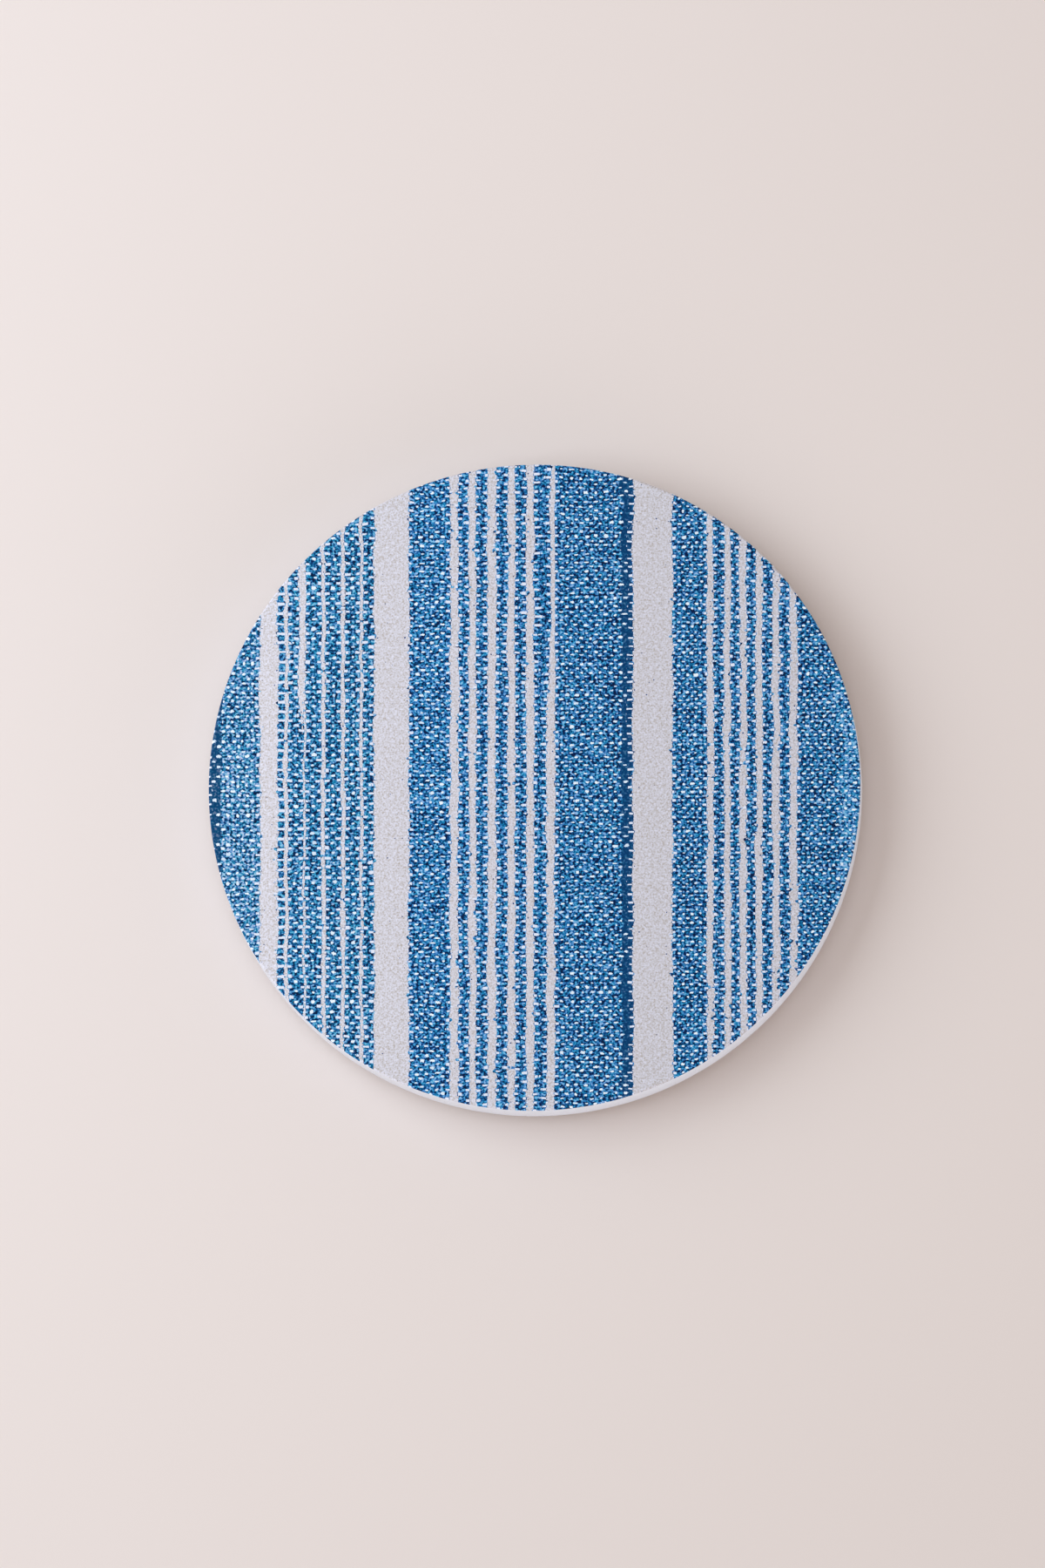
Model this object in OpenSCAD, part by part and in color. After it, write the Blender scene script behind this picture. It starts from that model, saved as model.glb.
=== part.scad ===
// Round drink coaster: a white ceramic disc with a striped print over its top, on a cork base.
// Millimetres. The origin is on the table, under the disc's centre. +Z is up, and the stripes
// run along Y, from the front edge to the back edge.

/* [Ceramic disc] */
// Diameter of the disc
disc_d = 101.6; // [80:0.1:130]
// Thickness of the disc
disc_t = 7; // [4:0.05:12]
// Width of the bevel round the top edge
top_bevel = 0.2; // [0.1:0.05:1.5]
// Width of the bevel round the bottom edge
bottom_bevel = 0.3; // [0.1:0.05:1.5]

/* [Print] */
// Thickness of the white coating that takes the ink
coating_t = 0.05; // [0.02:0.01:0.2]
// Thickness of the printed ink
ink_t = 0.05; // [0.02:0.01:0.2]

/* [Cork base] */
// Thickness of the cork
cork_t = 1.6; // [0.8:0.1:4]
// How far the cork stops short of the flat underside's edge
cork_inset = 2.5; // [0.5:0.1:10]
// Thickness of the adhesive film over the cork
adhesive_t = 0.1; // [0.05:0.05:0.5]
// How far the adhesive film stops short of the cork's edge
adhesive_inset = 0.5; // [0.1:0.1:3]

/* [Hidden] */
$fn = 144;

// Left and right edges of the blue bands, as shares of the disc's radius. The outer two run past
// the rim.
blue_shares = [
    // broad band at the left edge, then the group of bands beside it
    [-0.957, -0.844], [-0.788, -0.767], [-0.756, -0.709], [-0.702, -0.654],
    [-0.641, -0.594], [-0.581, -0.536], [-0.526, -0.493],
    // middle band and the five narrow ones
    [-0.385, -0.259], [-0.233, -0.201], [-0.178, -0.144], [-0.117, -0.082],
    [-0.059, -0.025], [-0.001, 0.037],
    // the broadest band
    [0.063, 0.267],
    // right band, the five narrow ones and the broad right edge
    [0.425, 0.529], [0.550, 0.582], [0.602, 0.630], [0.652, 0.679],
    [0.700, 0.731], [0.753, 0.783], [0.807, 1.01]
];
// The same for the navy bands
navy_shares = [[-1.01, -0.957], [0.267, 0.302]];

disc_r = disc_d / 2;
flat_r = disc_r - top_bevel;
cork_r = disc_r - bottom_bevel - cork_inset;
adhesive_r = cork_r - adhesive_inset;

// Heights of the undersides of the layers, from the cork up
adhesive_z = cork_t;
disc_z = adhesive_z + adhesive_t;
coating_z = disc_z + disc_t;
ink_z = coating_z + coating_t;

// How far a cutting shape runs past what it cuts
overrun = 1;

blue_ink = [0.24, 0.46, 0.68];
navy_ink = [0.07, 0.28, 0.46];
off_white = [0.82, 0.81, 0.83];
white_ceramic = [0.9, 0.9, 0.92];
white_coating = [0.88, 0.88, 0.9];
clear_adhesive = [0.88, 0.88, 0.84, 0.6];
pressed_cork = [0.66, 0.48, 0.32];

// A round layer under the disc
module layer(radius, z, thickness) {
    translate([0, 0, z]) cylinder(r = radius, h = thickness);
}

// A layer that covers the disc's top and its bevel
module skin(z, thickness) {
    translate([0, 0, z])
        rotate_extrude()
            polygon([
                [0, 0],
                [flat_r, 0],
                [disc_r, -top_bevel],
                [disc_r, thickness - top_bevel],
                [flat_r, thickness],
                [0, thickness]
            ]);
}

// Bands along Y through the ink, and past it all round by the overrun
module bands(shares) {
    low_z = ink_z - top_bevel - overrun;
    for (edges = shares)
        translate([edges[0] * disc_r, -disc_r - overrun, low_z])
            cube([(edges[1] - edges[0]) * disc_r, disc_d + 2 * overrun,
                ink_z + ink_t + overrun - low_z]);
}

module ink_bands(shares) {
    intersection() {
        skin(ink_z, ink_t);
        bands(shares);
    }
}

module ceramic_disc() {
    color(white_ceramic)
        translate([0, 0, disc_z])
            rotate_extrude()
                polygon([
                    [0, 0],
                    [disc_r - bottom_bevel, 0],
                    [disc_r, bottom_bevel],
                    [disc_r, disc_t - top_bevel],
                    [flat_r, disc_t],
                    [0, disc_t]
                ]);
}

module print_coating() {
    color(white_coating) skin(coating_z, coating_t);
}

module blue_stripes() {
    color(blue_ink) ink_bands(blue_shares);
}

module navy_stripes() {
    color(navy_ink) ink_bands(navy_shares);
}

module white_stripes() {
    color(off_white)
        difference() {
            skin(ink_z, ink_t);
            bands(concat(blue_shares, navy_shares));
        }
}

module cork_adhesive() {
    color(clear_adhesive) layer(adhesive_r, adhesive_z, adhesive_t);
}

module cork_base() {
    color(pressed_cork) layer(cork_r, 0, cork_t);
}

ceramic_disc();
print_coating();
blue_stripes();
navy_stripes();
white_stripes();
cork_adhesive();
cork_base();
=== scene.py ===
# Round drink coaster: a white ceramic disc with a ticking stripe printed over its top, on a cork
# base. Metres, +Z up, stripes along Y.
import math

import bmesh
import bpy
from mathutils import Matrix, Vector


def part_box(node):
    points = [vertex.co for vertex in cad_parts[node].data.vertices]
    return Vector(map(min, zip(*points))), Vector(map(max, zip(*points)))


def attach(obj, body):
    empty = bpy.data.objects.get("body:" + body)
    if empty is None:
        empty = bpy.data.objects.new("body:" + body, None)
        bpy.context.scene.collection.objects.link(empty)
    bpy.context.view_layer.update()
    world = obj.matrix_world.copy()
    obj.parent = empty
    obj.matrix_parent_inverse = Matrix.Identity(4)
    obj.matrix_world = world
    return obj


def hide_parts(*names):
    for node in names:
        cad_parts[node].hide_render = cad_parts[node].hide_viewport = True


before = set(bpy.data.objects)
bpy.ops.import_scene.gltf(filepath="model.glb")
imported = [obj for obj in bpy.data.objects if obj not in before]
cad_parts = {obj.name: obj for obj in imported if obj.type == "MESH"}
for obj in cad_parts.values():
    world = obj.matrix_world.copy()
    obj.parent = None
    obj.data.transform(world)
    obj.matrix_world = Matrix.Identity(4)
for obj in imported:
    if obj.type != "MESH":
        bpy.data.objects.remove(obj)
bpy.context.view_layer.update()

MM = 0.001
BODY = "root"
# Digits that a length in metres is rounded to
DIGITS = 6
# In metres: lengths closer than the first are the same, and bands closer than the second touch
SAME, TOUCHING = 1e-7, 1e-5
# Share of the disc's radius past which the flat side of a band is taken for its round end
RIM_SHARE = 0.999


# Sizes read from the CAD model

def outline_of(name):
    """A turned CAD node's outline as (radius, height) rings, from the bottom up."""
    rings = {}
    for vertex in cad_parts[name].data.vertices:
        height = round(vertex.co.z, DIGITS)
        rings[height] = max(rings.get(height, 0), vertex.co.xy.length)
    return [(radius, height) for height, radius in sorted(rings.items())]


disc_outline = outline_of("ceramic_disc")
cork_outline = outline_of("cork_base")
cork_r = cork_outline[0][0]
disc_z, disc_top_z = disc_outline[0][1], disc_outline[-1][1]
disc_r, flat_r = disc_outline[-2][0], disc_outline[-1][0]
bevel_drop = disc_top_z - disc_outline[-2][1]
coating_top_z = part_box("print_coating")[1].z
ink_top_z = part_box("blue_stripes")[1].z


def band_edges(name):
    """Left and right x of each printed band, from the flat sides of its CAD solids."""
    lefts, rights = set(), set()
    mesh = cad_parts[name].data
    for face in mesh.polygons:
        across = [mesh.vertices[i].co.x for i in face.vertices]
        if max(across) - min(across) < SAME and abs(across[0]) < RIM_SHARE * disc_r:
            (rights if face.normal.x > 0 else lefts).add(round(across[0], DIGITS))
    lefts, rights = sorted(lefts), sorted(rights)
    if not lefts or lefts[0] > rights[0]:
        lefts.insert(0, -disc_r)
    if rights[-1] < lefts[-1]:
        rights.append(disc_r)
    return list(zip(lefts, rights))


def merged(bands):
    """The same bands with those that touch joined into one."""
    whole = []
    for left, right in sorted(bands):
        if whole and left - whole[-1][1] < TOUCHING:
            whole[-1] = (whole[-1][0], right)
        else:
            whole.append((left, right))
    return whole


blue_bands = band_edges("blue_stripes")
navy_bands = band_edges("navy_stripes")
dyed_bands = merged(blue_bands + navy_bands)
white_bands = [(a[1], b[0]) for a, b in zip(dyed_bands, dyed_bands[1:])]


# Node helpers

def plug(tree, value, socket):
    if isinstance(value, bpy.types.NodeSocket):
        tree.links.new(value, socket)
    else:
        socket.default_value = value


def node(tree, kind, inputs=None, **settings):
    """A shader node with its settings, and its inputs by name or number."""
    made = tree.nodes.new("ShaderNode" + kind)
    for name, value in settings.items():
        setattr(made, name, value)
    for key, value in (inputs or {}).items():
        plug(tree, value, made.inputs[key])
    return made


def calc(tree, operation, *values, clamp=False):
    made = node(tree, "Math", operation=operation, use_clamp=clamp)
    for value, socket in zip(values, made.inputs):
        plug(tree, value, socket)
    return made.outputs[0]


def remap(tree, value, from_low, from_high, to_low=0.0, to_high=1.0, smooth=False):
    """A value moved from one range to another, and held inside it."""
    kind = "SMOOTHSTEP" if smooth else "LINEAR"
    made = node(tree, "MapRange", clamp=True, interpolation_type=kind)
    for number, part in enumerate((value, from_low, from_high, to_low, to_high)):
        plug(tree, part, made.inputs[number])
    return made.outputs[0]


def between(tree, share, low, high):
    """The value that lies at a share of the way from low to high."""
    return remap(tree, share, 0.0, 1.0, low, high)


def past_zero(tree, value, softness):
    """A mask that rises from 0 to 1 as the value passes zero, over twice the softness."""
    return remap(tree, value, -softness, softness)


def centred(tree, value):
    """A value from 0 to 1 moved to lie about zero."""
    return calc(tree, "SUBTRACT", value, 0.5)


def weighted(tree, share, first, second):
    """The first value by its share, and the second by the rest."""
    return calc(tree, "MULTIPLY_ADD", first, share, calc(tree, "MULTIPLY", second, 1 - share))


def power_sum(tree, first, second, power):
    """The sum of the two values' sizes, each raised to a power."""
    return calc(tree, "ADD", calc(tree, "POWER", calc(tree, "ABSOLUTE", first), power),
                calc(tree, "POWER", calc(tree, "ABSOLUTE", second), power))


def noise(tree, point, scale, detail=0.0, roughness=0.5, stretch=None):
    """Smooth noise about 0.5, with its grain stretched along an axis if asked."""
    if stretch:
        point = node(tree, "VectorMath", {0: point, 1: stretch}, operation="MULTIPLY").outputs[0]
    made = node(tree, "TexNoise", {"Vector": point, "Scale": scale, "Detail": detail,
                                   "Roughness": roughness})
    return made.outputs["Fac"]


def chance(tree, x, y, seed):
    """Three random numbers for each whole-numbered place."""
    place = node(tree, "CombineXYZ", {0: x, 1: y, 2: seed})
    made = node(tree, "TexWhiteNoise", {"Vector": place.outputs[0]}, noise_dimensions="3D")
    split = node(tree, "SeparateColor", {0: made.outputs["Color"]})
    return split.outputs[0], split.outputs[1], split.outputs[2]


def blend(tree, share, first, second, kind="RGBA"):
    """Two colours or two values mixed by a share."""
    made = node(tree, "Mix", data_type=kind)
    sockets = {"RGBA": (6, 7, 2), "FLOAT": (2, 3, 0)}[kind]
    plug(tree, share, made.inputs[0])
    plug(tree, first, made.inputs[sockets[0]])
    plug(tree, second, made.inputs[sockets[1]])
    return made.outputs[sockets[2]]


def scaled(tree, colour, strength):
    """A colour made lighter or darker by one strength."""
    return node(tree, "VectorMath", {0: colour, "Scale": strength}, operation="SCALE").outputs[0]


def srgb(red, green, blue):
    """A colour given as 0 to 255 screen values, as the linear colour that a shader takes."""
    def linear(level):
        share = level / 255
        return share / 12.92 if share <= 0.04045 else ((share + 0.055) / 1.055) ** 2.4
    return (linear(red), linear(green), linear(blue), 1.0)


def ramp(tree, value, stops):
    """A colour ramp through stops of (place, colour)."""
    made = node(tree, "ValToRGB", {0: value})
    elements = made.color_ramp.elements
    while len(elements) < len(stops):
        elements.new(0.5)
    for element, (place, colour) in zip(elements, stops):
        element.position = place
        element.color = colour
    return made.outputs["Color"]


def group(name, inputs, outputs):
    """An empty node group, with its input and output nodes. Inputs and outputs are (name, kind)."""
    tree = bpy.data.node_groups.new(name, "ShaderNodeTree")
    for label, kind in inputs:
        tree.interface.new_socket(label, in_out="INPUT", socket_type="NodeSocket" + kind)
    for label, kind in outputs:
        tree.interface.new_socket(label, in_out="OUTPUT", socket_type="NodeSocket" + kind)
    return tree, tree.nodes.new("NodeGroupInput").outputs, tree.nodes.new("NodeGroupOutput").inputs


def material(name):
    """An empty material with its Principled BSDF, which feeds its output."""
    made = bpy.data.materials.new(name)
    made.use_nodes = True
    tree = made.node_tree
    tree.nodes.clear()
    finish = node(tree, "BsdfPrincipled")
    node(tree, "OutputMaterial", {"Surface": finish.outputs[0]})
    return made, tree, finish


def place_in_mm(tree):
    """Object coordinates in millimetres."""
    return scaled(tree, node(tree, "TexCoord").outputs["Object"], 1 / MM)


# The stripe's threads

# Distance between threads across the stripes, and between rows along them, in mm, and the x in
# mm where the print goes over to the next zone's spacing
THREAD_LEFT, THREAD_MIDDLE, THREAD_RIGHT = 0.756, 0.754, 0.652
ROW_LEFT, ROW_MIDDLE, ROW_RIGHT = 0.774, 0.696, 0.688
ZONE_ONE_X, ZONE_TWO_X = -22.3, 18.5
# Taken off a band's width in threads before it is rounded to a whole number
THREAD_SLACK = 0.08


def thread_pitch(x):
    if x < ZONE_ONE_X:
        return THREAD_LEFT
    return THREAD_MIDDLE if x < ZONE_TWO_X else THREAD_RIGHT


def by_zone(tree, x, left, middle, right):
    """The value of the zone that x is in."""
    first = blend(tree, calc(tree, "GREATER_THAN", x, ZONE_ONE_X), left, middle, "FLOAT")
    return blend(tree, calc(tree, "GREATER_THAN", x, ZONE_TWO_X), first, right, "FLOAT")


def inside_bands(tree, x, bands):
    """How far x is inside the nearest band, in mm, below zero outside them."""
    nearest = None
    for left, right in bands:
        centre = (left + right) / 2 / MM
        half = (right - left) / 2 / MM
        away = calc(tree, "ABSOLUTE", calc(tree, "SUBTRACT", x, centre))
        depth = calc(tree, "SUBTRACT", half, away)
        nearest = depth if nearest is None else calc(tree, "MAXIMUM", nearest, depth)
    return nearest


def thread_count(tree, x, bands):
    """Counts threads from the left, a whole number to each band and gap."""
    edges = sorted({edge for band in bands for edge in band})
    total = 0.0
    for left, right in zip(edges, edges[1:]):
        low, high = left / MM, right / MM
        threads = max(1, round((high - low) / thread_pitch((low + high) / 2) - THREAD_SLACK))
        total = calc(tree, "ADD", total, remap(tree, x, low, high, 0.0, threads))
    return total


# How far past the rim the outer two bands end, in mm. The left one ends just past it, so that
# its white ticks reach in over the rim
PAST_LEFT, PAST_RIGHT = 0.3, 2.0


def open_ended(bands):
    """The bands with the outer two carried past the rim."""
    first, last = bands[0], bands[-1]
    return ([(first[0] - PAST_LEFT * MM, first[1])] + bands[1:-1]
            + [(last[0], last[1] + PAST_RIGHT * MM)])


# The rows sag by a slow noise and a quick one. After each noise's scale or stretch comes the
# most that it moves a row, in mm
SLOW_SAG_SCALE, SLOW_SAG = 0.16, 0.8
QUICK_SAG_STRETCH, QUICK_SAG = (0.6, 1.2, 1.0), 0.35


def sagging(tree, point, y):
    """y, in mm, with the sag of the rows."""
    sag = calc(tree, "MULTIPLY_ADD", noise(tree, point, SLOW_SAG_SCALE), SLOW_SAG, y)
    quick = noise(tree, point, 1.0, stretch=QUICK_SAG_STRETCH)
    return calc(tree, "MULTIPLY_ADD", quick, QUICK_SAG, sag)


# Each stripe's edges wander slowly, sway, and step a little from row to row. After each noise's
# stretch, or the steps' number and seed, comes the width that they move over, in mm
WANDER_STRETCH, WANDER = (0.45, 0.17, 1.0), 0.60
SWAY_STRETCH, SWAY = (0.9, 0.6, 1.0), 0.25
STEPS_PER_MM, STEP_SEED, STEP = 0.8, 3.0, 0.16


def wandering(tree, point, x, row):
    """x, in mm, with the wander of the stripes' edges."""
    wander = centred(tree, noise(tree, point, 1.0, stretch=WANDER_STRETCH))
    sway = centred(tree, noise(tree, point, 1.0, stretch=SWAY_STRETCH))
    place = calc(tree, "FLOOR", calc(tree, "MULTIPLY", x, STEPS_PER_MM))
    step = centred(tree, chance(tree, place, calc(tree, "FLOOR", row), STEP_SEED)[0])
    moved = calc(tree, "MULTIPLY_ADD", wander, WANDER, x)
    moved = calc(tree, "MULTIPLY_ADD", sway, SWAY, moved)
    return calc(tree, "MULTIPLY_ADD", step, STEP, moved)


# The narrow stripe beside the broadest band swells towards it at the back. The swelling grows
# from this run before this y to as far past it, up to this much. Across the stripe it is full
# from this x on, and dies off between the two distances past that. All in mm
SWELL_Y, SWELL_RUN, SWELL = 15.8, 5.0, 0.62
SWELL_X, SWELL_HELD, SWELL_GONE = 1.9, 0.9, 1.4


def swelling(tree, x, y, moved):
    """The wandering x, moved over where the narrow stripe swells."""
    rise = remap(tree, x, 0.0, SWELL_X, smooth=True)
    fall = remap(tree, x, SWELL_X + SWELL_HELD, SWELL_X + SWELL_GONE, 1.0, 0.0, smooth=True)
    beside = calc(tree, "MULTIPLY", rise, fall)
    swollen = calc(tree, "MULTIPLY", beside,
                   remap(tree, y, SWELL_Y - SWELL_RUN, SWELL_Y + SWELL_RUN))
    return calc(tree, "MULTIPLY_ADD", swollen, -SWELL, moved)


# Back of this y, the first narrow stripe has lost its right thread, which tapers off over this
# length before it. The thread lies between these two x. All in mm
LOST_Y, LOST_TAPER = 14.4, 11.0
LOST_LEFT, LOST_RIGHT = -36.72, -35.85


def outside_lost_thread(tree, moved, y):
    """How far a place is outside the lost thread, in mm."""
    lost = calc(tree, "ABSOLUTE", calc(tree, "SUBTRACT", moved, (LOST_LEFT + LOST_RIGHT) / 2))
    lost = calc(tree, "SUBTRACT", lost, (LOST_RIGHT - LOST_LEFT) / 2)
    return calc(tree, "ADD", lost, remap(tree, y, LOST_Y - LOST_TAPER, LOST_Y, 1.0, 0.0))


# The middle of the column of dashes, which is one thread wide, and the distances from it over
# which what sets it apart dies off. Each of its edges draws in by the first of the next two
# values, and its thread counts as wider by the second, so that the notches cut right through.
# All in mm
DASH_X, DASH_RANGE = -39.5, (0.7, 1.0)
DASH_NARROWER, DASH_REACH = 0.07, 0.4
# Slubs begin where their noise passes the first level, and are full, this many mm wide, at the
# second
SLUB_STRETCH, SLUB_RANGE, SLUB = (0.7, 1.0, 1.0), (0.66, 0.80), 0.40
# How far the dyed threads spread past the bands' mean edges, in mm, between the notches
BLEED = 0.05
# What the thread group finds at a point, in its sockets' order
CLOTH_VALUES = ("Inside", "Navy", "Thread", "Row", "Thread width", "Row height")


def build_thread_group():
    """Finds the thread, row and stripe at a point of the print, with the wander of the cloth."""
    tree, given, result = group("Ticking threads", [("Point", "Vector")],
                                [(name, "Float") for name in CLOTH_VALUES])
    point = given["Point"]
    split = node(tree, "SeparateXYZ", {0: point})
    x, y = split.outputs[0], split.outputs[1]
    height = by_zone(tree, x, ROW_LEFT, ROW_MIDDLE, ROW_RIGHT)
    width = by_zone(tree, x, THREAD_LEFT, THREAD_MIDDLE, THREAD_RIGHT)
    row = calc(tree, "DIVIDE", sagging(tree, point, y), height)
    moved = swelling(tree, x, y, wandering(tree, point, x, row))
    slub = remap(tree, noise(tree, point, 1.0, stretch=SLUB_STRETCH), *SLUB_RANGE, 0.0, SLUB)
    inside = inside_bands(tree, moved, open_ended(dyed_bands))
    inside = calc(tree, "ADD", calc(tree, "ADD", inside, slub), BLEED)
    inside = calc(tree, "MINIMUM", inside, outside_lost_thread(tree, moved, y))
    from_dashes = calc(tree, "ABSOLUTE", calc(tree, "SUBTRACT", x, DASH_X))
    dash = remap(tree, from_dashes, *DASH_RANGE, 1.0, 0.0)
    found = {
        "Inside": calc(tree, "MULTIPLY_ADD", dash, -DASH_NARROWER, inside),
        "Navy": inside_bands(tree, moved, open_ended(navy_bands)[:1] + navy_bands[1:]),
        "Thread": thread_count(tree, moved, open_ended(dyed_bands)),
        "Row": row,
        "Thread width": calc(tree, "MULTIPLY_ADD", dash, DASH_REACH, width),
        "Row height": height,
    }
    for name, value in found.items():
        plug(tree, value, result[name])
    return tree


# The stripe's white cross threads

# Half width and half height of a cross thread's dot, as shares of the thread and row spacing,
# and the least and most that a dot has
DOT_WIDE, DOT_TALL = 0.36, 0.21
DOT_WIDE_RANGE = (0.66 * DOT_WIDE, 1.25 * DOT_WIDE)
DOT_TALL_RANGE = (0.50 * DOT_TALL, 1.40 * DOT_TALL)
# How much of a dot's height its whole row shares, and how much taller the left zone's dots are
DOT_ROW_SHARE, LEFT_DOT_TALL = 0.7, 1.2
# The power that squares off a dot's outline, how rough the outline is, and where it fades out
# and is full, as shares of the dot's half size
DOT_SQUARE, DOT_ROUGH, DOT_EDGE = 2.4, 1.6, (1.35, 0.75)


def taller_rows(tree, given, most):
    """1 in the middle and right zones, and most in the left zone, where the rows are taller."""
    return remap(tree, given["Row height"], ROW_MIDDLE, ROW_LEFT, 1.0, most)


def dot_shape(tree, given, across, along, grain, fat, draw):
    """A white dot in its cell: a rounded square with a rough outline."""
    wide = between(tree, draw, *DOT_WIDE_RANGE)
    tall = between(tree, weighted(tree, DOT_ROW_SHARE, fat, draw), *DOT_TALL_RANGE)
    tall = calc(tree, "MULTIPLY", tall, taller_rows(tree, given, LEFT_DOT_TALL))
    powers = power_sum(tree, calc(tree, "DIVIDE", across, wide),
                       calc(tree, "DIVIDE", along, tall), DOT_SQUARE)
    distance = calc(tree, "POWER", powers, 1 / DOT_SQUARE)
    rough = calc(tree, "MULTIPLY_ADD", grain, DOT_ROUGH, distance)
    return remap(tree, rough, *DOT_EDGE, smooth=True)


# Some rows of dots are faint: how much of it the row decides, the draw below which a dot fades,
# and the faintest that it gets
FAINT_ROW_SHARE, FAINT_BELOW, FAINTEST = 0.6, 0.6, 0.70
# Share of the dots that the closer threads of the navy bands hide, and the softness of that
# choice
NAVY_HIDES, HIDE_SOFT = 0.6, 0.02
# The first thread beside the white has a notch in place of a dot. Dots begin and are full this
# many threads in
FIRST_DOTS = (0.85, 1.1)


def shown_dots(tree, given, dot, bright, second, third, in_navy):
    """The dots, less what is faint, hidden by navy threads or too near the white."""
    faint = weighted(tree, FAINT_ROW_SHARE, bright, second)
    dot = calc(tree, "MULTIPLY", dot, remap(tree, faint, 0.0, FAINT_BELOW, FAINTEST, 1.0))
    shown = past_zero(tree, calc(tree, "MULTIPLY_ADD", in_navy, -NAVY_HIDES, third), HIDE_SOFT)
    dot = calc(tree, "MULTIPLY", dot, shown)
    beyond = calc(tree, "DIVIDE", given["Inside"], given["Thread width"])
    return calc(tree, "MULTIPLY", dot, remap(tree, beyond, *FIRST_DOTS))


# A notch's half height as a share of the row spacing, and its least and most
NOTCH_TALL = 0.26
NOTCH_TALL_RANGE = (0.8 * NOTCH_TALL, 1.15 * NOTCH_TALL)
# The least and most share of the edge thread that a notch crosses, and the softness of its end
# in mm
NOTCH_REACH, NOTCH_SOFT = (0.62, 1.0), 0.08
# How much longer the notches are in navy and in the left zone, and how tall they are in navy
NAVY_NOTCH_LONG, LEFT_NOTCH_LONG, NAVY_NOTCH_TALL = 1.2, 1.12, 0.75
# How rough a notch's sides are, and where they fade out and are full, as shares of its half
# height
NOTCH_ROUGH, NOTCH_EDGE = 0.9, (1.25, 0.75)


def notch_shape(tree, given, along, grain, first, third, in_navy):
    """The notch that a cross thread cuts in a stripe's edge, where it runs on into the white."""
    share = between(tree, first, *NOTCH_REACH)
    share = calc(tree, "MULTIPLY", share, between(tree, in_navy, 1.0, NAVY_NOTCH_LONG))
    share = calc(tree, "MULTIPLY", share, taller_rows(tree, given, LEFT_NOTCH_LONG))
    reach = calc(tree, "MULTIPLY", given["Thread width"], share)
    notch = past_zero(tree, calc(tree, "SUBTRACT", reach, given["Inside"]), NOTCH_SOFT)
    tall = between(tree, third, *NOTCH_TALL_RANGE)
    tall = calc(tree, "MULTIPLY", tall, between(tree, in_navy, 1.0, NAVY_NOTCH_TALL))
    off = calc(tree, "ABSOLUTE", calc(tree, "DIVIDE", along, tall))
    rough = calc(tree, "MULTIPLY_ADD", grain, NOTCH_ROUGH, off)
    return calc(tree, "MULTIPLY", notch, remap(tree, rough, *NOTCH_EDGE, smooth=True))


# Seeds of the draws for each crossing of threads and for each row, and the one place across the
# stripes at which a row's draws are made
CROSSING_SEED, ROW_SEED, ROW_PLACE = 7.0, 11.0, 0.5
# Scale of the noise that roughens outlines, and how far a dot strays from its cell's middle, as
# shares of the cell's width and height
OUTLINE_SCALE = 4.2
STRAY_ACROSS, STRAY_ALONG = 0.24, 0.20
# Softness of a navy band's edge, in mm, for its cross threads
NAVY_SOFT = 0.1
# A dyed thread's knot is full, 1, and lowest, -1, at these squared distances from its cell's
# middle, and has this height where a white thread lies over it
KNOT_RANGE, KNOT_UNDER = (0.02, 0.34), -0.6
# Where a row's bulge is full and lowest, as shares of its height from its middle
BULGE_RANGE = (0.1, 0.5)


def build_dot_group():
    """Marks where the white cross threads show through the dyed ones."""
    tree, given, result = group(
        "White cross threads",
        [("Point", "Vector")] + [(name, "Float") for name in CLOTH_VALUES],
        [(name, "Float") for name in ("Dot", "Notch", "Knot", "Bulge")],
    )
    column = calc(tree, "FLOOR", given["Thread"])
    line = calc(tree, "FLOOR", given["Row"])
    over = calc(tree, "FLOORED_MODULO", calc(tree, "ADD", column, line), 2.0)
    first, second, third = chance(tree, column, line, CROSSING_SEED)
    fat, bright = chance(tree, ROW_PLACE, line, ROW_SEED)[:2]
    grain = centred(tree, noise(tree, given["Point"], OUTLINE_SCALE, detail=1.0))
    # Place inside the cell as shares of its width and height from its middle
    across_cell = centred(tree, calc(tree, "FRACT", given["Thread"]))
    along_cell = centred(tree, calc(tree, "FRACT", given["Row"]))
    across = calc(tree, "MULTIPLY_ADD", centred(tree, first), STRAY_ACROSS, across_cell)
    along = calc(tree, "MULTIPLY_ADD", centred(tree, second), STRAY_ALONG, along_cell)
    in_navy = past_zero(tree, given["Navy"], NAVY_SOFT)
    dot = dot_shape(tree, given, across, along, grain, fat, third)
    dot = shown_dots(tree, given, dot, bright, second, third, in_navy)
    notch = notch_shape(tree, given, along, grain, first, third, in_navy)
    # A knot is round, full in the middle of its cell and low at the corners
    knot = remap(tree, power_sum(tree, across_cell, along_cell, 2.0), *KNOT_RANGE, 1.0, -1.0)
    plug(tree, calc(tree, "MULTIPLY", dot, over), result["Dot"])
    plug(tree, calc(tree, "MULTIPLY", notch, over), result["Notch"])
    plug(tree, blend(tree, over, knot, KNOT_UNDER, "FLOAT"), result["Knot"])
    plug(tree, remap(tree, calc(tree, "ABSOLUTE", along_cell), *BULGE_RANGE, 1.0, -1.0,
                     smooth=True), result["Bulge"])
    return tree


# The stripe's inks

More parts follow.
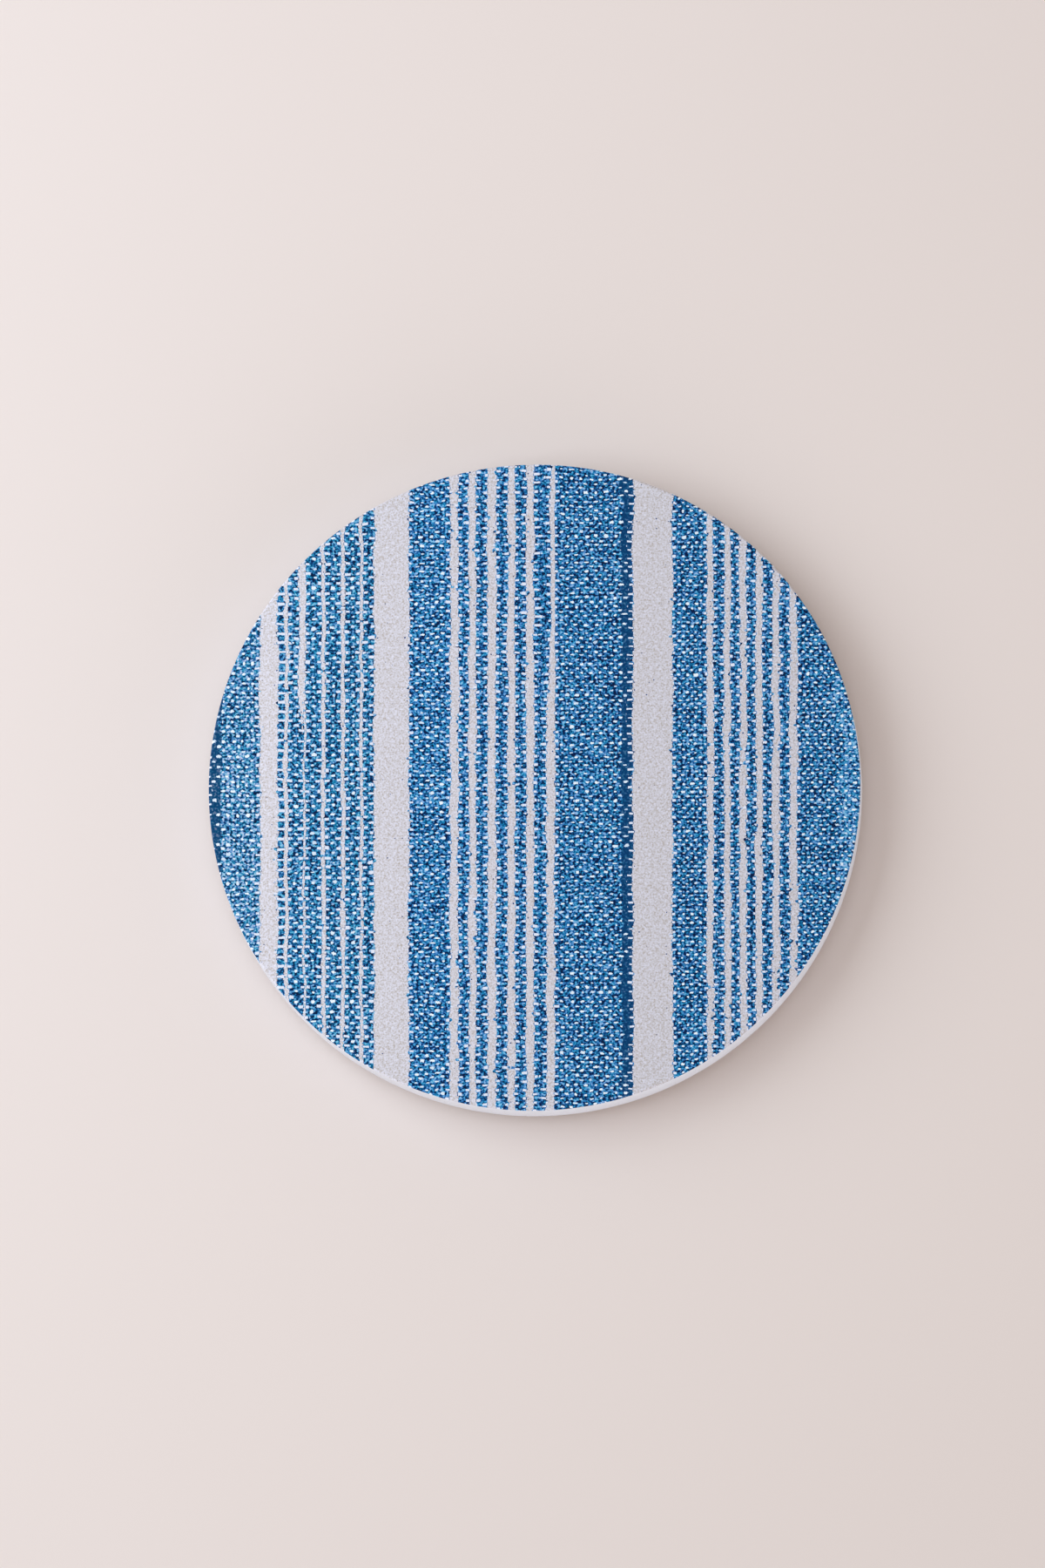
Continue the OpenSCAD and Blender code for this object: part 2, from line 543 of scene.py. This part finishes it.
# Blue ink from its darkest grain to its lightest, as violet and as teal
VIOLET_TONES = [
    (0.0, srgb(0, 24, 70)),
    (0.2, srgb(0, 62, 124)),
    (0.42, srgb(30, 106, 173)),
    (0.62, srgb(67, 138, 205)),
    (0.82, srgb(104, 166, 224)),
    (1.0, srgb(158, 196, 240)),
]
TEAL_TONES = [
    (0.0, srgb(0, 28, 68)),
    (0.2, srgb(0, 67, 116)),
    (0.42, srgb(0, 111, 166)),
    (0.62, srgb(30, 145, 200)),
    (0.82, srgb(80, 172, 222)),
    (1.0, srgb(138, 202, 240)),
]
# Stretch of the ink's grain, and the range of it that the tones cover
GRAIN_STRETCH, GRAIN_RANGE, GRAIN_TONES = (2.5, 2.8, 1.0), (0.32, 0.68), (-0.02, 1.0)
# Dark flecks: their stretch, where they begin and are full, and how much darker they are
FLECK_STRETCH, FLECK_RANGE, FLECK_DARKER = (2.5, 2.9, 3.0), (0.54, 0.62), 0.40
# How much lighter a knot and a patch are. Patches are larger than the grain
KNOT_LIGHTER, PATCH_LIGHTER, PATCH_SCALE = 0.10, 0.25, 0.35
# The broad band at the left rim is lighter than the bands beside it, as far as this x, and is
# like them this far past it, both in mm. The last value says how much lighter: partly the band's
# own lighter blue and partly painted light from the lamp on the left
PALE_X, PALE_FADE, PALE_TONE_AND_LIGHT = -42.0, 2.5, 0.10
# How much lighter the left zone and the right zone are, partly their own lighter blue and partly
# painted light from the lamp on the left. The middle one goes from one to the other
LEFT_TONE_AND_LIGHT, RIGHT_TONE_AND_LIGHT = 0.05, 0.01
# The right rim is brighter from about this x in mm, over twice the next distance, by the third
# value. The patches make the change ragged, by the fourth
BRIGHT_X, BRIGHT_FADE, BRIGHT_LIGHTER, BRIGHT_RAGGED = 47.6, 0.6, 0.22, 6.0


def ink_tone(tree, point, x, grain, patch, pale, knot):
    """The blue ink's tone: a coarse grain with dark flecks, fuller on each knot of thread."""
    tone = remap(tree, grain, *GRAIN_RANGE, *GRAIN_TONES)
    flecks = remap(tree, noise(tree, point, 1.0, stretch=FLECK_STRETCH), *FLECK_RANGE)
    tone = calc(tree, "MULTIPLY_ADD", flecks, -FLECK_DARKER, tone)
    tone = calc(tree, "MULTIPLY_ADD", knot, KNOT_LIGHTER, tone)
    tone = calc(tree, "MULTIPLY_ADD", patch, PATCH_LIGHTER, tone)
    # Lighter towards the left: partly the print's own lighter blue and partly painted light from
    # the lamp on the left
    lighter = calc(tree, "MULTIPLY_ADD", pale, PALE_TONE_AND_LIGHT,
                   remap(tree, x, ZONE_ONE_X, ZONE_TWO_X, LEFT_TONE_AND_LIGHT, RIGHT_TONE_AND_LIGHT))
    ragged = calc(tree, "MULTIPLY_ADD", patch, BRIGHT_RAGGED, x)
    lighter = calc(tree, "ADD", lighter,
                   remap(tree, ragged, BRIGHT_X - BRIGHT_FADE, BRIGHT_X + BRIGHT_FADE, 0.0,
                         BRIGHT_LIGHTER))
    return calc(tree, "ADD", tone, lighter)


# Scale of the change from teal to violet, and the range of its noise
HUE_SCALE, HUE_RANGE = 1.6, (0.42, 0.58)
NAVY = srgb(0, 62, 112)
# How far the left navy band stops short of its mean edge, in mm, and the distance in mm over
# which that ends at the middle zone
NAVY_SHORT, SHORT_FADE = 0.25, 0.1
# How ragged the navy's edge is, and its softness in mm
NAVY_RAGGED, NAVY_EDGE_SOFT = 1.6, 0.08
# The navy covers more of the blue where the blue's grain is dark, and less where it is light
NAVY_GRAIN, NAVY_COVER = (0.35, 0.70), (0.97, 0.74)
# The tints over the blue of the left zone, and of the broad band at the left rim, and the
# distance in mm over which the left zone's ends
NO_TINT = (1.0, 1.0, 1.0, 1.0)
LEFT_TINT, PALE_TINT = (0.97, 0.98, 0.90, 1.0), (1.40, 0.99, 0.88, 1.0)
LEFT_FADE = 1.0


def dyed_colour(tree, point, x, tone, grain, patch, pale, inside_navy):
    """Blue ink in its tone, with the navy bands and the tints of the left side."""
    hue = remap(tree, noise(tree, point, HUE_SCALE, detail=1.0), *HUE_RANGE)
    blue = blend(tree, hue, ramp(tree, tone, TEAL_TONES), ramp(tree, tone, VIOLET_TONES))
    short = remap(tree, x, ZONE_ONE_X - SHORT_FADE, ZONE_ONE_X, -NAVY_SHORT, 0.0)
    deep = calc(tree, "ADD", inside_navy, short)
    navy = past_zero(tree, calc(tree, "MULTIPLY_ADD", patch, NAVY_RAGGED, deep), NAVY_EDGE_SOFT)
    navy = calc(tree, "MULTIPLY", navy, remap(tree, grain, *NAVY_GRAIN, *NAVY_COVER))
    blue = blend(tree, navy, blue, NAVY)
    left = remap(tree, x, ZONE_ONE_X - LEFT_FADE, ZONE_ONE_X, 1.0, 0.0)
    tint = blend(tree, left, NO_TINT, LEFT_TINT)
    tint = blend(tree, pale, tint, PALE_TINT)
    return node(tree, "VectorMath", {0: blue, 1: tint}, operation="MULTIPLY").outputs[0]


# The white ground's speckle, from beige to white: its scale, detail and roughness, and how much
# lighter a knot is
SPECKLE, SPECKLE_KNOT = (3.5, 2.0, 0.6), 0.035
GROUND_TONES = [
    (0.28, srgb(184, 175, 169)),
    (0.46, srgb(211, 209, 216)),
    (0.60, srgb(222, 222, 235)),
    (0.74, srgb(234, 235, 249)),
]
# Stray flecks of blue: the scale of their noise, the levels where they begin and are full, and
# how much likelier they get between these two distances outside a stripe, in mm
STRAY_SCALE, STRAY_RANGE = 2.6, (0.835, 0.855)
STRAY_LIKELIER, STRAY_NEAR = 0.05, (-1.6, -0.1)
STRAY_BLUE = VIOLET_TONES[1][1]


def ground_colour(tree, point, inside, knot):
    """The white ground: a speckle of grey and beige, with a few stray flecks by the stripes."""
    speckle = calc(tree, "MULTIPLY_ADD", knot, SPECKLE_KNOT, noise(tree, point, *SPECKLE))
    ground = ramp(tree, speckle, GROUND_TONES)
    stray = calc(tree, "MULTIPLY_ADD", remap(tree, inside, *STRAY_NEAR), STRAY_LIKELIER,
                 noise(tree, point, STRAY_SCALE))
    return blend(tree, remap(tree, stray, *STRAY_RANGE), ground, STRAY_BLUE)


# The dyed threads' edges are roughened by the ink's grain and by the rows' bulge, in mm, and
# fade in over this range, in mm
EDGE_ROUGH, EDGE_BULGE, EDGE_RANGE = 0.40, 0.07, (-0.04, 0.05)


def dyed_share(tree, grain, inside, bulge):
    """1 on the dyed threads and 0 on the white ground."""
    rough = calc(tree, "MULTIPLY_ADD", centred(tree, grain), EDGE_ROUGH, inside)
    rough = calc(tree, "MULTIPLY_ADD", bulge, EDGE_BULGE, rough)
    return remap(tree, rough, *EDGE_RANGE)


# Painted light falloff: the blue and the ground are painted darker from left to right, standing
# in for the lamp's light falling off across the disc: quickly as far as this x in mm, by the
# first value, and slowly from there to the right zone, between the other two
QUICK_X, QUICK_LIGHT_FALLOFF = ZONE_ONE_X - 6.0, 0.05
LEFT_LIGHT_LEVEL, RIGHT_LIGHT_LEVEL = 0.975, 0.90


def painted_light_falloff(tree, x):
    """The painted light falloff at x: how strong the colours of the blue and the ground are,
    painted darker to the right as the lamp's light falls off.
    """
    return calc(tree, "ADD", remap(tree, x, PALE_X, QUICK_X, QUICK_LIGHT_FALLOFF, 0.0),
                remap(tree, x, QUICK_X, ZONE_TWO_X, LEFT_LIGHT_LEVEL, RIGHT_LIGHT_LEVEL))


# The colours of a dot, of a notch in a blue stripe, and of the pale blue that rings them
DOT_WHITE = srgb(240, 250, 255)
NOTCH_WHITE = srgb(226, 232, 247)
HALO_BLUE = srgb(108, 160, 214)
# Where each of these begins and is full, as levels of the dot and of the notch
HALO_RANGE, DOT_RANGE, NOTCH_RANGE = (0.1, 0.6), (0.4, 1.0), (0.3, 0.9)


def with_cross_threads(tree, blue, dot, notch):
    """The dyed colour with its white dots and notches, each ringed with pale blue."""
    ring = calc(tree, "MAXIMUM", dot, notch)
    colour = blend(tree, remap(tree, ring, *HALO_RANGE), blue, HALO_BLUE)
    colour = blend(tree, remap(tree, dot, *DOT_RANGE), colour, DOT_WHITE)
    return blend(tree, remap(tree, notch, *NOTCH_RANGE), colour, NOTCH_WHITE)


PRINT_ROUGHNESS, PRINT_SPECULAR = 0.5, 0.08


def build_print_material(threads, dots):
    """The printed stripe, on all three inks, so that it runs on from one to the next."""
    made, tree, finish = material("Ticking print")
    point = place_in_mm(tree)
    cloth = node(tree, "Group", {"Point": point}, node_tree=threads)
    white = node(tree, "Group", {"Point": point}, node_tree=dots)
    for name in CLOTH_VALUES:
        plug(tree, cloth.outputs[name], white.inputs[name])
    x = node(tree, "SeparateXYZ", {0: point}).outputs[0]
    inside, knot = cloth.outputs["Inside"], white.outputs["Knot"]
    grain = noise(tree, point, 1.0, detail=1.0, stretch=GRAIN_STRETCH)
    patch = centred(tree, noise(tree, point, PATCH_SCALE, detail=1.0))
    pale = remap(tree, x, PALE_X, PALE_X + PALE_FADE, 1.0, 0.0)
    # strength is the painted light falloff, which darkens the blue and the ground towards the right
    strength = painted_light_falloff(tree, x)
    tone = ink_tone(tree, point, x, grain, patch, pale, knot)
    blue = dyed_colour(tree, point, x, tone, grain, patch, pale, cloth.outputs["Navy"])
    colour = with_cross_threads(tree, scaled(tree, blue, strength), white.outputs["Dot"],
                                white.outputs["Notch"])
    ground = scaled(tree, ground_colour(tree, point, inside, knot), strength)
    dyed = dyed_share(tree, grain, inside, white.outputs["Bulge"])
    plug(tree, blend(tree, dyed, ground, colour), finish.inputs["Base Color"])
    finish.inputs["Roughness"].default_value = PRINT_ROUGHNESS
    finish.inputs["Specular IOR Level"].default_value = PRINT_SPECULAR
    return made


# Ceramic, coating, cork and adhesive

def bumped(tree, finish, height, strength, depth):
    """Raises the finish by a height, of a depth in mm."""
    bump = node(tree, "Bump", {"Height": height, "Strength": strength, "Distance": depth * MM})
    plug(tree, bump.outputs[0], finish.inputs["Normal"])


# Detail and roughness of the fine grain, scale and detail of the clouds, and the clouds' share
FINE_GRAIN, CLOUDS, CLOUD_SHARE = (3.0, 0.6), (0.08, 2.0), 0.5
# The range of tones, the darkest as a share of the colour, and the grain's range of roughness
TONE_RANGE, DARKEST = (0.2, 0.8), 0.90
FINE_RANGE, ROUGHNESS_SPREAD = (0.3, 0.7), 0.08


def build_white(name, colour, roughness, scale, grain, depth):
    """A smooth white finish with a faint grain of the given scale, bump strength and depth."""
    made, tree, finish = material(name)
    point = place_in_mm(tree)
    fine = noise(tree, point, scale, *FINE_GRAIN)
    shade = calc(tree, "MULTIPLY_ADD", centred(tree, noise(tree, point, *CLOUDS)), CLOUD_SHARE,
                 fine)
    darkest = tuple(DARKEST * level for level in colour[:3]) + (1.0,)
    plug(tree, ramp(tree, shade, list(zip(TONE_RANGE, (darkest, colour)))),
         finish.inputs["Base Color"])
    plug(tree, remap(tree, fine, *FINE_RANGE, roughness - ROUGHNESS_SPREAD,
                     roughness + ROUGHNESS_SPREAD), finish.inputs["Roughness"])
    bumped(tree, finish, fine, grain, depth)
    return made


STREAK_SCALE, STREAK_DETAIL = 1.5, 2.0
STREAK_TONES = [(0.3, srgb(214, 214, 208)), (0.7, srgb(232, 232, 228))]
ADHESIVE_ROUGHNESS, ADHESIVE_CLEAR, ADHESIVE_IOR = 0.3, 0.4, 1.47


def build_adhesive():
    """A milky adhesive film with faint streaks."""
    made, tree, finish = material("Clear adhesive")
    streaks = noise(tree, place_in_mm(tree), STREAK_SCALE, STREAK_DETAIL)
    plug(tree, ramp(tree, streaks, STREAK_TONES), finish.inputs["Base Color"])
    finish.inputs["Roughness"].default_value = ADHESIVE_ROUGHNESS
    finish.inputs["Transmission Weight"].default_value = ADHESIVE_CLEAR
    finish.inputs["IOR"].default_value = ADHESIVE_IOR
    return made


CORK_TONES = [
    (0.0, srgb(128, 84, 50)),
    (0.3, srgb(170, 122, 80)),
    (0.7, srgb(198, 152, 106)),
    (1.0, srgb(216, 176, 132)),
]
PORE_BROWN = srgb(92, 56, 34)
# Granules per mm, how far their shapes are bent in mm, and the scale and detail of the bend
GRANULE_SCALE, BEND, BEND_SCALE, BEND_DETAIL = 0.75, (0.7, 0.7, 0.7), 1.4, 2.0
# Scale, detail and roughness of the fibre in a granule, and its share of the colour and height
FIBRE, FIBRE_SHADE, FIBRE_HEIGHT = (3.2, 3.0, 0.6), 0.7, 0.4
# How far from a seam, as shares of a granule, the cork is low and full
SEAM_RANGE = (0.02, 0.07)
# Scale and detail of the pores, and the levels where they begin and are full
PORES, PORE_RANGE = (1.1, 1.0), (0.66, 0.70)
CORK_ROUGHNESS, CORK_BUMP, CORK_DEPTH = 0.85, 0.6, 0.12


def build_cork():
    """Pressed cork: angular granules of several browns, with dark pores between them."""
    made, tree, finish = material("Pressed cork")
    point = place_in_mm(tree)
    warp = node(tree, "TexNoise", {"Vector": point, "Scale": BEND_SCALE, "Detail": BEND_DETAIL})
    bent = node(tree, "VectorMath", {0: warp.outputs["Color"], 1: BEND, 2: point},
                operation="MULTIPLY_ADD").outputs[0]
    cells = node(tree, "TexVoronoi", {"Vector": bent, "Scale": GRANULE_SCALE})
    seams = node(tree, "TexVoronoi", {"Vector": bent, "Scale": GRANULE_SCALE},
                 feature="DISTANCE_TO_EDGE")
    granule = node(tree, "SeparateColor", {0: cells.outputs["Color"]}).outputs[0]
    fibre = noise(tree, bent, *FIBRE)
    shade = calc(tree, "MULTIPLY_ADD", centred(tree, fibre), FIBRE_SHADE, granule)
    edge = remap(tree, seams.outputs["Distance"], *SEAM_RANGE)
    pore = remap(tree, noise(tree, point, *PORES), *PORE_RANGE, 1.0, 0.0)
    raised = calc(tree, "MULTIPLY", edge, pore)
    plug(tree, blend(tree, raised, PORE_BROWN, ramp(tree, shade, CORK_TONES)),
         finish.inputs["Base Color"])
    finish.inputs["Roughness"].default_value = CORK_ROUGHNESS
    height = calc(tree, "MULTIPLY_ADD", fibre, FIBRE_HEIGHT, raised)
    bumped(tree, finish, height, CORK_BUMP, CORK_DEPTH)
    return made


# Meshes

# Edges that turn by more than this are sharp
SHARP_ANGLE = math.radians(35)
RIM_STEPS = 288


def parts_of(geom, kind):
    """The vertices or the faces among an operator's results."""
    return [part for part in geom if isinstance(part, kind)]


def to_piece(name, bm, made):
    """Makes a mesh object that rides on the coaster's one body."""
    bmesh.ops.recalc_face_normals(bm, faces=bm.faces)
    mesh = bpy.data.meshes.new(name)
    bm.to_mesh(mesh)
    bm.free()
    mesh.materials.append(made)
    mesh.set_sharp_from_angle(angle=SHARP_ANGLE)
    piece = bpy.data.objects.new(name, mesh)
    bpy.context.scene.collection.objects.link(piece)
    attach(piece, BODY)
    return piece


def turned(outline):
    """A solid turned about the Z axis, from (radius, height) rings given bottom to top."""
    bm = bmesh.new()
    (radius, height), rest = outline[0], outline[1:]
    place = Matrix.Translation((0.0, 0.0, height))
    bmesh.ops.create_circle(bm, cap_ends=True, radius=radius, segments=RIM_STEPS, matrix=place)
    top = bm.faces[:]
    inner = []
    for next_radius, next_height in rest:
        raised = bmesh.ops.extrude_face_region(bm, geom=top)["geom"]
        bmesh.ops.delete(bm, geom=inner, context="FACES_ONLY")
        ring = parts_of(raised, bmesh.types.BMVert)
        top = parts_of(raised, bmesh.types.BMFace)
        inner = top
        growth = next_radius / radius
        bmesh.ops.scale(bm, vec=(growth, growth, 1.0), verts=ring)
        bmesh.ops.translate(bm, vec=(0.0, 0.0, next_height - height), verts=ring)
        radius, height = next_radius, next_height
    return bm


# Radius of the rounding along the ceramic's and the cork's edges, and its steps
CERAMIC_ARRIS, CORK_ARRIS = 0.06 * MM, 0.25 * MM
ARRIS_STEPS = 3


def build_round(name, node_name, outline, arris, made):
    """A turned piece that stands for a CAD node, with its edges rounded."""
    bm = turned(outline)
    rings = [edge for edge in bm.edges if abs(edge.verts[0].co.z - edge.verts[1].co.z) < SAME]
    bmesh.ops.bevel(bm, geom=rings, offset=arris, segments=ARRIS_STEPS, profile=0.5,
                    affect="EDGES", material=-1)
    # The wall is made of four-sided faces. The two flat ends have more sides and stay flat
    for face in bm.faces:
        face.smooth = len(face.verts) <= 4
    piece = to_piece(name, bm, made)
    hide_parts(node_name)
    return piece


# The part of the unit square that the print's hidden faces take in its UV map, in a corner
# outside the round print
HIDDEN_SHARE = 0.1
# How near to a cut, in metres, a vertex counts as on it, and the least upward part of a top
# face's normal
CUT_SLACK, UPWARD = 1e-8, 0.5


def print_skin():
    """The print's underside: a round sheet that turns down over the disc's bevel."""
    bm = bmesh.new()
    place = Matrix.Translation((0.0, 0.0, coating_top_z))
    bmesh.ops.create_circle(bm, cap_ends=True, radius=flat_r, segments=RIM_STEPS, matrix=place)
    rim = [edge for edge in bm.edges if edge.is_boundary]
    skirt = parts_of(bmesh.ops.extrude_edge_only(bm, edges=rim)["geom"], bmesh.types.BMVert)
    growth = disc_r / flat_r
    bmesh.ops.scale(bm, vec=(growth, growth, 1.0), verts=skirt)
    bmesh.ops.translate(bm, vec=(0.0, 0.0, -bevel_drop), verts=skirt)
    return bm


def keep_bands(bm, bands):
    """Cuts the skin along the bands' edges and deletes what lies outside them."""
    for edge in sorted({edge for band in bands for edge in band if abs(edge) < disc_r}):
        parts = bm.verts[:] + bm.edges[:] + bm.faces[:]
        bmesh.ops.bisect_plane(bm, geom=parts, dist=CUT_SLACK, plane_co=(edge, 0.0, 0.0),
                               plane_no=(1.0, 0.0, 0.0))
    spare = [face for face in bm.faces
             if not any(low < face.calc_center_median().x < high for low, high in bands)]
    bmesh.ops.delete(bm, geom=spare, context="FACES")


def lay_out(bm):
    """Gives the print its UV map, seen from above, with the hidden faces made small."""
    bmesh.ops.recalc_face_normals(bm, faces=bm.faces)
    chart = bm.loops.layers.uv.new("OFBake")
    for face in bm.faces:
        share = 1.0 if face.normal.z > UPWARD else HIDDEN_SHARE
        for loop in face.loops:
            place = (loop.vert.co.xy / disc_r + Vector((1.0, 1.0))) / 2
            loop[chart].uv = place * share


def build_print(name, node_name, bands, ink):
    """The printed bands of one ink, cut from the skin over the disc's top and bevel."""
    bm = print_skin()
    keep_bands(bm, bands)
    raised = bmesh.ops.extrude_face_region(bm, geom=bm.faces[:])["geom"]
    bmesh.ops.translate(bm, vec=(0.0, 0.0, ink_top_z - coating_top_z),
                        verts=parts_of(raised, bmesh.types.BMVert))
    lay_out(bm)
    piece = to_piece(name, bm, ink)
    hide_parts(node_name)


def dress(name, made):
    """Gives a CAD node its finish."""
    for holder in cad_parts[name].material_slots:
        holder.material = made


# Stage, light and camera

FLOOR_COLOUR = srgb(231, 221, 217)
FLOOR_R, FLOOR_STEPS = 9.0, 96
FLOOR_ROUGHNESS, FLOOR_SPECULAR = 0.7, 0.2


def floor_material():
    """The floor's pale finish. It is clear from below and under the cork."""
    made, tree, finish = material("Pale floor")
    finish.inputs["Base Color"].default_value = FLOOR_COLOUR
    finish.inputs["Roughness"].default_value = FLOOR_ROUGHNESS
    finish.inputs["Specular IOR Level"].default_value = FLOOR_SPECULAR
    surface = finish.outputs[0].links[0].to_socket
    # Seen from below, the floor is clear, so that the underside shows. It is clear both ways
    # where the cork covers it, so that light reaches the underside
    below = node(tree, "NewGeometry").outputs["Backfacing"]
    from_centre = node(tree, "VectorMath", {0: node(tree, "TexCoord").outputs["Object"]},
                       operation="LENGTH").outputs["Value"]
    covered = calc(tree, "LESS_THAN", from_centre, cork_r - CORK_ARRIS)
    clear = node(tree, "BsdfTransparent")
    mix = node(tree, "MixShader", {0: calc(tree, "MAXIMUM", below, covered),
                                   1: finish.outputs[0], 2: clear.outputs[0]})
    plug(tree, mix.outputs[0], surface)
    return made


def build_floor():
    bm = bmesh.new()
    bmesh.ops.create_circle(bm, cap_ends=True, radius=FLOOR_R, segments=FLOOR_STEPS)
    mesh = bpy.data.meshes.new("floor")
    bm.to_mesh(mesh)
    bm.free()
    mesh.materials.append(floor_material())
    floor = bpy.data.objects.new("floor", mesh)
    bpy.context.scene.collection.objects.link(floor)


KEY_WATTS, KEY_COLOUR = 3.0, (0.80, 0.90, 1.0)
KEY_SIZE, KEY_DISTANCE = 0.6, 0.6
KEY_ELEVATION, KEY_HEADING = math.radians(42), math.radians(166)


def build_lamp():
    """One large soft lamp from the upper left."""
    lamp = bpy.data.lights.new("window", "AREA")
    lamp.shape = "SQUARE"
    lamp.size = KEY_SIZE
    lamp.energy = KEY_WATTS
    lamp.color = KEY_COLOUR
    toward = Vector((math.cos(KEY_HEADING) * math.cos(KEY_ELEVATION),
                     math.sin(KEY_HEADING) * math.cos(KEY_ELEVATION),
                     math.sin(KEY_ELEVATION)))
    holder = bpy.data.objects.new("window", lamp)
    holder.location = toward * KEY_DISTANCE
    holder.rotation_euler = toward.to_track_quat("Z", "Y").to_euler()
    holder.visible_camera = False
    bpy.context.scene.collection.objects.link(holder)


FILL_COLOUR, FILL_HORIZON, FILL_ZENITH = (1.0, 0.91, 0.83, 1.0), 0.92, 0.35
# Light added low down on the camera's side, which reaches the near wall of the disc, and
# opposite. It narrows by the power, and the two sides meet over twice the softness
LOW_FILL_COLOUR, FRONT_FILL, BACK_FILL = (0.91, 0.91, 1.0, 1.0), 2.9, 0.4
FRONT_HEADING = math.radians(-62)
LOBE_POWER, LOBE_SOFT = 2.0, 0.01


def low_fill_level(tree, way, up):
    """The level of the low light in a direction."""
    front = (math.cos(FRONT_HEADING), math.sin(FRONT_HEADING), 0.0)
    facing = node(tree, "VectorMath", {0: way, 1: front}, operation="DOT_PRODUCT").outputs[1]
    low = calc(tree, "POWER", calc(tree, "SUBTRACT", 1.0, up, clamp=True), LOBE_POWER)
    lobe = calc(tree, "POWER", calc(tree, "ABSOLUTE", facing), LOBE_POWER)
    lobe = calc(tree, "MULTIPLY", lobe, low)
    side = remap(tree, facing, -LOBE_SOFT, LOBE_SOFT, BACK_FILL, FRONT_FILL)
    return calc(tree, "MULTIPLY", lobe, side)


def build_surround():
    """A pale surround that is darker overhead, and that the camera sees as the floor's colour."""
    world = bpy.data.worlds.new("surround")
    bpy.context.scene.world = world
    world.use_nodes = True
    tree = world.node_tree
    tree.nodes.clear()
    way = node(tree, "TexCoord").outputs["Generated"]
    up = node(tree, "SeparateXYZ", {0: way}).outputs[2]
    level = between(tree, up, FILL_HORIZON, FILL_ZENITH)
    fill = node(tree, "Background", {0: FILL_COLOUR, 1: level})
    low_fill = node(tree, "Background", {0: LOW_FILL_COLOUR, 1: low_fill_level(tree, way, up)})
    both = node(tree, "AddShader", {0: fill.outputs[0], 1: low_fill.outputs[0]})
    seen = node(tree, "Background", {0: FLOOR_COLOUR, 1: 1.0})
    path = node(tree, "LightPath").outputs["Is Camera Ray"]
    mix = node(tree, "MixShader", {0: path, 1: both.outputs[0], 2: seen.outputs[0]})
    node(tree, "OutputWorld", {0: mix.outputs[0]})


# The photograph's frame in pixels, and where the disc's middle is in it
PHOTO_W, PHOTO_H = 1200, 1800
DISC_X, DISC_Y = 614.9, 907.3
PIXELS_PER_MM = 7.37
CAMERA_DISTANCE = 5.0
CAMERA_TILT = math.radians(8.7)
# The side from which the camera looks, clockwise from the right as seen in the photograph
CAMERA_SIDE = math.radians(71)
SENSOR = 36.0


def build_camera():
    """A camera at the photograph's angle, with the disc where it is in the photograph."""
    back = Vector((math.sin(CAMERA_TILT) * math.cos(CAMERA_SIDE),
                   -math.sin(CAMERA_TILT) * math.sin(CAMERA_SIDE),
                   math.cos(CAMERA_TILT)))
    right = Vector((0.0, 1.0, 0.0)).cross(back).normalized()
    up = back.cross(right)
    aim = Vector((0.0, 0.0, (disc_z + disc_top_z) / 2))
    aim -= right * ((DISC_X - PHOTO_W / 2) / PIXELS_PER_MM * MM)
    aim += up * ((DISC_Y - PHOTO_H / 2) / PIXELS_PER_MM * MM)
    data = bpy.data.cameras.new("camera")
    data.sensor_width = SENSOR
    data.lens = SENSOR * CAMERA_DISTANCE * PIXELS_PER_MM / MM / PHOTO_H
    camera = bpy.data.objects.new("camera", data)
    turn = Matrix((right, up, back)).transposed().to_4x4()
    camera.matrix_world = Matrix.Translation(aim + back * CAMERA_DISTANCE) @ turn
    bpy.context.scene.collection.objects.link(camera)
    bpy.context.scene.camera = camera


CERAMIC_WHITE, COATING_WHITE = srgb(224, 229, 239), srgb(232, 232, 236)


def main():
    build_camera()
    build_lamp()
    build_surround()
    build_floor()
    ink = build_print_material(build_thread_group(), build_dot_group())
    ceramic = build_white("White ceramic", CERAMIC_WHITE, roughness=0.35, scale=2.2, grain=0.12,
                          depth=0.02)
    coating = build_white("White coating", COATING_WHITE, roughness=0.4, scale=5.0, grain=0.1,
                          depth=0.01)
    build_round("glazed_disc", "ceramic_disc", disc_outline, CERAMIC_ARRIS, ceramic)
    build_round("pressed_cork", "cork_base", cork_outline, CORK_ARRIS, build_cork())
    build_print("blue_print", "blue_stripes", blue_bands, ink)
    build_print("navy_print", "navy_stripes", navy_bands, ink)
    build_print("white_print", "white_stripes", white_bands, ink)
    dress("print_coating", coating)
    dress("cork_adhesive", build_adhesive())
    bpy.context.scene.view_settings.view_transform = "Standard"


main()
